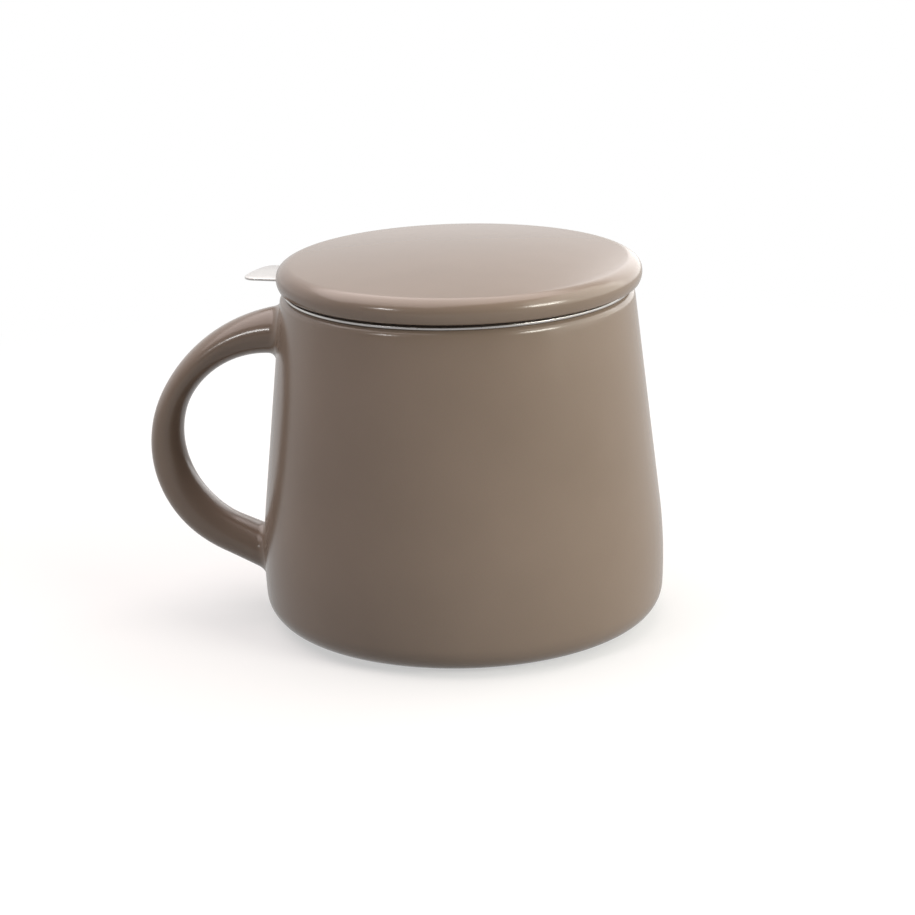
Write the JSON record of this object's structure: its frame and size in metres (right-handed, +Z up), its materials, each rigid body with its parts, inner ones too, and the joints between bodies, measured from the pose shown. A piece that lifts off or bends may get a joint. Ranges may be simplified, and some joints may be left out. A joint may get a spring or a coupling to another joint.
{
  "type": "lidded tea mug with infuser",
  "caption": "Tapered stoneware tea mug with a loop handle, a loose disc lid and a lift-out steel strainer basket hung from its rim.",
  "frame": {"origin": "on the mug's vertical axis, in the plane that the foot ring stands on", "axes": "+Z up the mug's axis, -X towards the handle, +Y square to both, right-handed"},
  "size_m": [0.1289, 0.1, 0.0926],
  "materials": {
    "glaze": "satin taupe glaze over stoneware",
    "steel": "fine brushed stainless steel"
  },
  "bodies": {
    "mug": {"mug_body": "glaze", "mug_handle": "glaze"},
    "infuser": {"infuser_rim": "steel", "infuser_wall": "steel", "infuser_base": "steel"},
    "lid": {"lid": "glaze"}
  },
  "joints": [
    {"name": "infuser_lift", "type": "slide", "parent": "mug", "child": "infuser", "axis": [0, 0, 1], "range_m": [0, 0.08]},
    {"name": "lid_lift", "type": "slide", "parent": "infuser", "child": "lid", "axis": [0, 0, 1], "range_m": [0, 0.045]}
  ]
}
